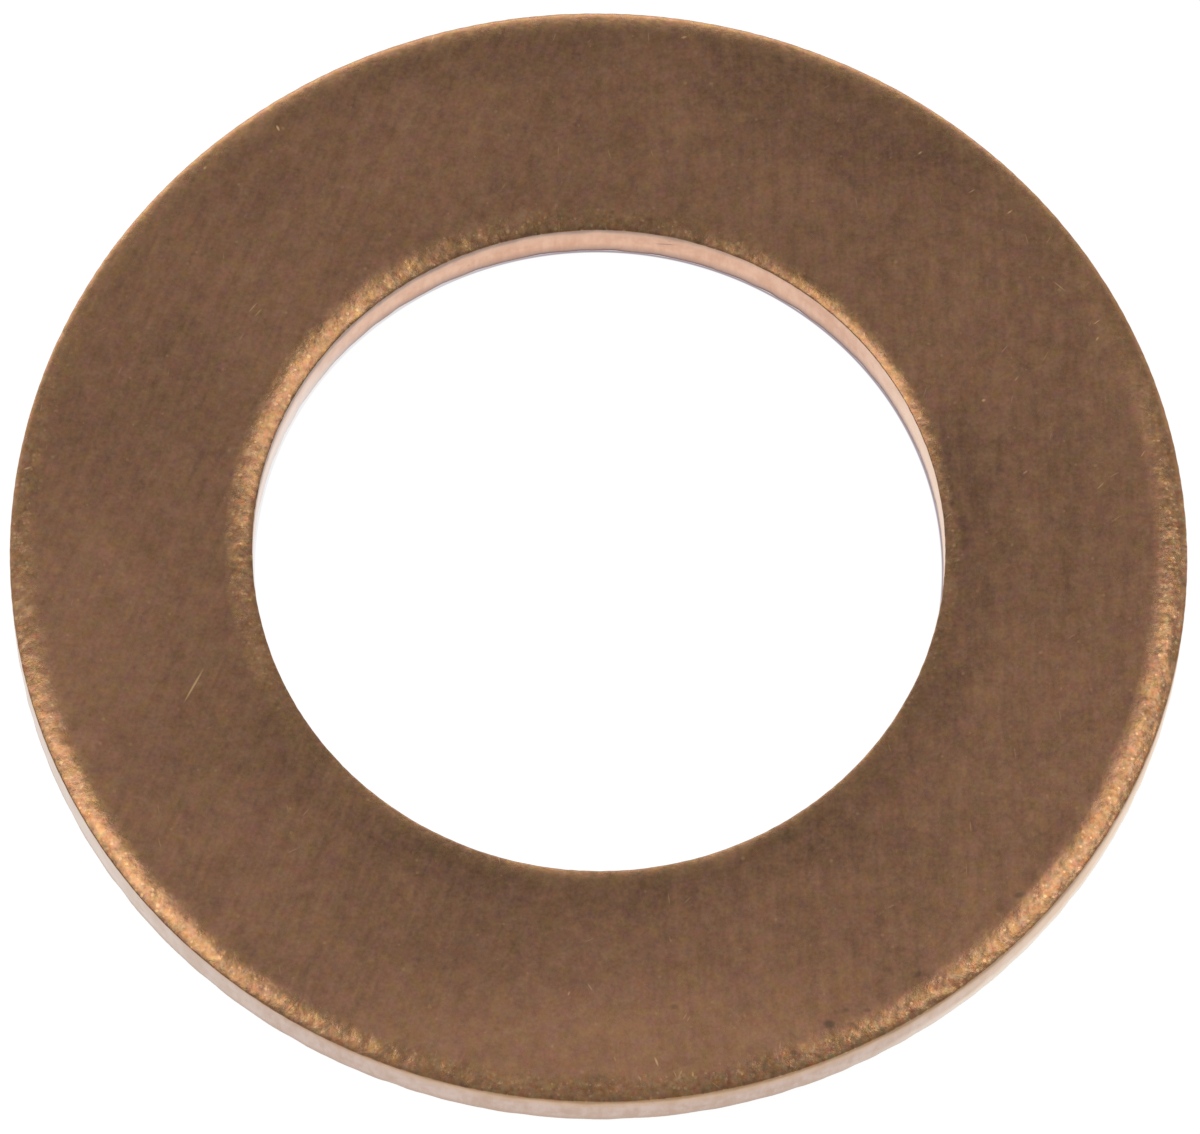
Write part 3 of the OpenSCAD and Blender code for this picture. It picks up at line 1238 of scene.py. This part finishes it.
        # Tarnish patches and painted light and shade, held at the points
        stain = sum(patch.weight(x, y) for patch in TARNISH_AND_LIGHT_PATCHES)
        held = {ROLL_ATTRIBUTE: across, GRAIN_ATTRIBUTE: self.grain(across, x, y), TARNISH_AND_LIGHT_ATTRIBUTE: stain}
        for name, values in held.items():
            layer = mesh.attributes.new(name, "FLOAT", "POINT")
            layer.data.foreach_set("value", values.astype(np.float32).ravel())
        bake = mesh.uv_layers.new(name=BAKE_MAP)
        bake.uv.foreach_set("vector", self.bake_map(zones).astype(np.float32).ravel())
        mesh.validate()
        piece = bpy.data.objects.new("copper_ring", mesh)
        bpy.context.scene.collection.objects.link(piece)
        return piece

    def dress(self, piece: bpy.types.Object, groups: Groups) -> None:
        """Gives the skin its finishes: faces and bands first, then the outer wall, then the bore wall.

        Args:
            piece: the skin.
            groups: the shared node groups.
        """
        finishes = (
            FaceFinish(),
            # The walls' clean and stained colours are the copper's own; the other colours are painted
            # reflection and shade
            WallFinishAndPaintedLight(
                "sheared_rim", self.outer_r, clean=(0.605, 0.445, 0.377), stained=(0.51, 0.345, 0.253),
                pale=(0.74, 0.60, 0.50), lip=(0.29, 0.155, 0.055), foot=(0.42, 0.265, 0.17),
                right_reflection=(0.90, 0.63, 0.40), warm=(0.585, 0.355, 0.185), glare=(0.96, 0.84, 0.70),
                glare_span=(0.30, 0.75), lit_side=1.0, lip_lean=0.06, lip_from=0.78, foot_to=0.25,
                aside_from=0.45,
                marks=(Mark(-26.83, 0.40, 0.14, 0.09, 0, 0.6),),
            ),
            WallFinishAndPaintedLight(
                "sheared_bore", self.bore_r, clean=(0.78, 0.475, 0.325), stained=(0.67, 0.37, 0.235),
                pale=(0.88, 0.74, 0.66), lip=(0.25, 0.17, 0.14), foot=(0.35, 0.215, 0.17),
                right_reflection=(0.90, 0.64, 0.46), warm=(0.66, 0.41, 0.29), glare=(0.97, 0.86, 0.77),
                glare_span=(0.65, 0.98), lit_side=-1.0, lip_lean=0.08, lip_from=0.79, foot_to=0.42,
                aside_from=0.68,
                marks=(Mark(9.15, 0.62, 0.58, 0.08, 163, 0.8),),
            ),
        )
        for finish in finishes:
            piece.data.materials.append(finish.build(groups))
        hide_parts(RING_NODE)
        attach(piece, RING_BODY)


@dataclass(frozen=True)
class Softbox:
    """One oblong studio lamp. Lengths are in metres, and a brightness of 1 shows as white."""

    name: str
    towards: tuple[float, float, float]
    width: float
    height: float
    brightness: float
    away: float = 0.30

    def build(self) -> bpy.types.Object:
        """Hangs the lamp on its line from the ring, facing it.

        Returns:
            The lamp's object.
        """
        lamp = bpy.data.lights.new(self.name, "AREA")
        lamp.shape = "RECTANGLE"
        lamp.size, lamp.size_y = self.width, self.height
        lamp.energy = self.brightness * math.pi * self.width * self.height
        hung = bpy.data.objects.new(self.name, lamp)
        line_out = Vector(self.towards).normalized()
        hung.location = line_out * self.away
        hung.rotation_euler = line_out.to_track_quat("Z", "Y").to_euler()
        hung.visible_camera = False
        bpy.context.scene.collection.objects.link(hung)
        return hung


@dataclass(frozen=True)
class Studio:
    """The pale floor, the soft lamps and the room's light. Lengths are in metres.

    A span is where the room's light changes, as a share of the way up or to the back of the room.
    """

    floor_half: float = 2.5
    floor_gap: float = 0.01 * MM
    floor_colour: Colour = (0.90, 0.90, 0.90)
    floor_glow: float = 0.9
    floor_white: float = 1.06
    painted_contact_shadow: Colour = (0.34, 0.28, 0.32)
    shadow_line_reach: float = 0.035 * MM
    ceiling: float = 0.60
    above: float = 0.545
    sides: float = 0.85
    behind_camera: float = 0.75
    side_span: tuple[float, float] = (0.40, 0.66)
    ceiling_span: tuple[float, float] = (0.80, 0.93)
    camera_span: tuple[float, float] = (-0.05, 0.34)
    lamps: tuple[Softbox, ...] = (
        Softbox("right_softbox", (0.446, 0.112, 0.888), 0.132, 0.117, 2.8),
        Softbox("left_softbox", (-0.562, -0.047, 0.826), 0.114, 0.175, 3.35),
        Softbox("back_softbox", (-0.224, 0.910, 0.349), 0.50, 0.07, 2.2),
    )

    def floor_finish(self, bore_r: float) -> bpy.types.Material:
        """Makes the floor's material: white to the eye and to the metal, but it keeps the ring's shadow.

        Seen from below it is clear, so that the ring's lower face shows.

        Args:
            bore_r: radius of the bore in millimetres. Round its foot the floor has a thin painted shadow line,
                fainter at the left.

        Returns:
            The material.
        """
        material, sheet, shader = new_material("pale_floor")
        shader.inputs["Base Color"].default_value = (*self.floor_colour, 1.0)
        shader.inputs["Roughness"].default_value = 1.0
        shader.inputs["Specular IOR Level"].default_value = 0.0
        place = sheet.add("TexCoord", {}).outputs["Object"]
        # A thin painted shadow line on the floor round the foot of the bore, fading at the left
        gap = sheet.maths("ABSOLUTE", sheet.maths("SUBTRACT", sheet.length(place), bore_r * MM))
        left = sheet.spread(sheet.split(place)[0], -0.9 * bore_r * MM, 0.0, 0.8, 0.0)
        open_share = sheet.spread(gap, 0.2 * self.shadow_line_reach, self.shadow_line_reach, 0.0, 1.0)
        open_share = sheet.maths("MAXIMUM", open_share, left)
        white = sheet.blend(open_share, self.painted_contact_shadow, (1.0, 1.0, 1.0))
        glow = sheet.add("Emission", {"Color": white, "Strength": self.floor_white})
        path = sheet.add("LightPath", {}).outputs
        seen = sheet.maths("ADD", path["Is Camera Ray"], path["Is Glossy Ray"])
        seen = sheet.maths("ADD", seen, path["Is Transmission Ray"], clamp=True)
        share = sheet.maths("MULTIPLY", seen, self.floor_glow)
        mixed = sheet.add("MixShader", {0: share, 1: shader.outputs["BSDF"], 2: glow.outputs["Emission"]})
        clear = sheet.add("BsdfTransparent", {})
        below = sheet.add("NewGeometry", {}).outputs["Backfacing"]
        sided = sheet.add("MixShader", {0: below, 1: mixed.outputs["Shader"], 2: clear.outputs["BSDF"]})
        sheet.give(sheet.tree.nodes["Material Output"].inputs["Surface"], sided.outputs["Shader"])
        return material

    def build_floor(self, bore_r: float) -> bpy.types.Object:
        """Lays a flat square floor just under the ring.

        Args:
            bore_r: radius of the bore in millimetres.

        Returns:
            The floor's object.
        """
        half, low = self.floor_half, -self.floor_gap
        corners = [(-half, -half, low), (half, -half, low), (half, half, low), (-half, half, low)]
        mesh = bpy.data.meshes.new("floor")
        mesh.from_pydata(corners, [], [(0, 1, 2, 3)])
        mesh.materials.append(self.floor_finish(bore_r))
        floor = bpy.data.objects.new("floor", mesh)
        bpy.context.scene.collection.objects.link(floor)
        return floor

    def build_room(self) -> bpy.types.World:
        """Lights the room: pale sides, a dimmer ceiling, and a shade behind the camera.

        Returns:
            The world.
        """
        world = bpy.data.worlds.new("studio_room")
        world.use_nodes = True
        sheet = Sheet(world.node_tree)
        _, back, up = sheet.split(sheet.add("TexCoord", {}).outputs["Generated"])
        level = sheet.spread(up, *self.side_span, self.sides, self.above)
        level = sheet.maths("ADD", level, sheet.spread(up, *self.ceiling_span, 0.0, self.ceiling - self.above))
        level = sheet.maths("MULTIPLY", level, sheet.spread(back, *self.camera_span, self.behind_camera, 1.0))
        background = world.node_tree.nodes["Background"]
        sheet.give(background.inputs["Strength"], level)
        sheet.give(background.inputs["Color"], (1.0, 1.0, 1.0, 1.0))
        bpy.context.scene.world = world
        return world

    def build(self, bore_r: float) -> list[bpy.types.Object]:
        """Makes the room's light, the floor for this bore and the lamps, and returns the objects."""
        self.build_room()
        return [self.build_floor(bore_r), *(lamp.build() for lamp in self.lamps)]


@dataclass(frozen=True)
class PhotoCamera:
    """The photograph's viewpoint, found from the four rims in its 1200 by 1134 frame."""

    photo_width: float = 1200.0
    photo_height: float = 1134.0
    focal_px: float = 11731.0
    centre_px: tuple[float, float] = (598.3, 566.7)
    radii_away: float = 20.0
    elevation: float = 67.71
    roll: float = 1.71
    sensor: float = 36.0

    def build(self, outer_r: float) -> bpy.types.Object:
        """Sets the camera up in front of the ring, looking down at its centre.

        Args:
            outer_r: the ring's outer radius, in millimetres.

        Returns:
            The camera's object.
        """
        lens = bpy.data.cameras.new("photo_camera")
        lens.sensor_width = self.sensor
        lens.lens = self.focal_px / self.photo_width * self.sensor
        lens.shift_x = (self.photo_width / 2.0 - self.centre_px[0]) / self.photo_width
        lens.shift_y = (self.centre_px[1] - self.photo_height / 2.0) / self.photo_width
        lens.clip_start, lens.clip_end = 0.01, 20.0
        camera = bpy.data.objects.new("photo_camera", lens)
        rise, turn = math.radians(self.elevation), math.radians(self.roll)
        back = Vector((0.0, -math.cos(rise), math.sin(rise)))
        right = Vector((1.0, 0.0, 0.0))
        up = back.cross(right)
        across = math.cos(turn) * right + math.sin(turn) * up
        upward = math.cos(turn) * up - math.sin(turn) * right
        axes = Matrix((across, upward, back)).transposed().to_4x4()
        camera.matrix_world = Matrix.Translation(back * self.radii_away * outer_r * MM) @ axes
        bpy.context.scene.collection.objects.link(camera)
        bpy.context.scene.camera = camera
        return camera


def main() -> None:
    """Builds the camera, the studio and the ring."""
    logging.basicConfig(level=logging.INFO, format="%(message)s")
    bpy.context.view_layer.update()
    bpy.context.scene.view_settings.view_transform = "Standard"
    ring = Ring.from_frame()
    PhotoCamera().build(ring.outer_r)
    for thing in Studio().build(ring.bore_r):
        LOG.info("studio: %s", thing.name)
    piece = ring.build()
    ring.dress(piece, Groups())
    LOG.info("piece: %s, %d faces", piece.name, len(piece.data.polygons))


if __name__ == "__main__":
    main()
